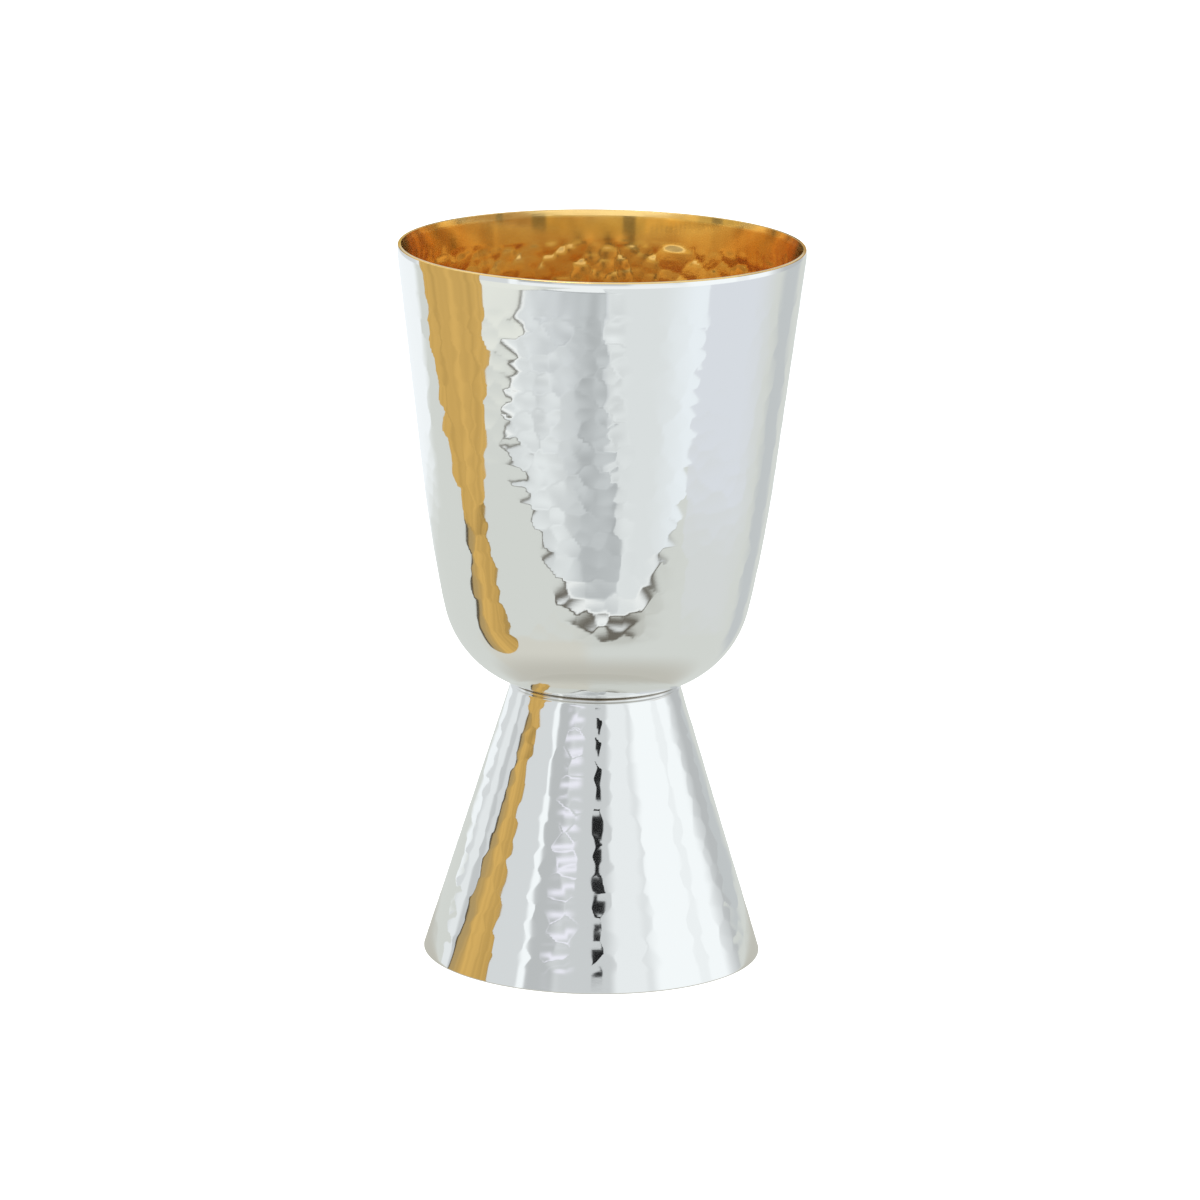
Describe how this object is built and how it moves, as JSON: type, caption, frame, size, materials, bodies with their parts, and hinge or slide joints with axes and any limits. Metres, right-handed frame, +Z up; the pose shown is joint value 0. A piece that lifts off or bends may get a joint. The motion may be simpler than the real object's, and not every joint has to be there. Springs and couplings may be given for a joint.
{
  "type": "communion cup",
  "caption": "Hammered silver communion cup: a tumbler-shaped bowl, gilt inside, on a hollow cone-shaped foot",
  "frame": {"origin": "on the cup's axis, in the plane of the foot's standing edge", "axes": "+Z runs up the cup's axis, from the foot to the bowl's mouth; the cup is round, so X and Y are any two level directions"},
  "size_m": [0.0846, 0.0846, 0.15],
  "materials": {
    "silver": "polished"
  },
  "bodies": {
    "root": {"bowl": "silver", "foot": "silver"}
  },
  "joints": []
}
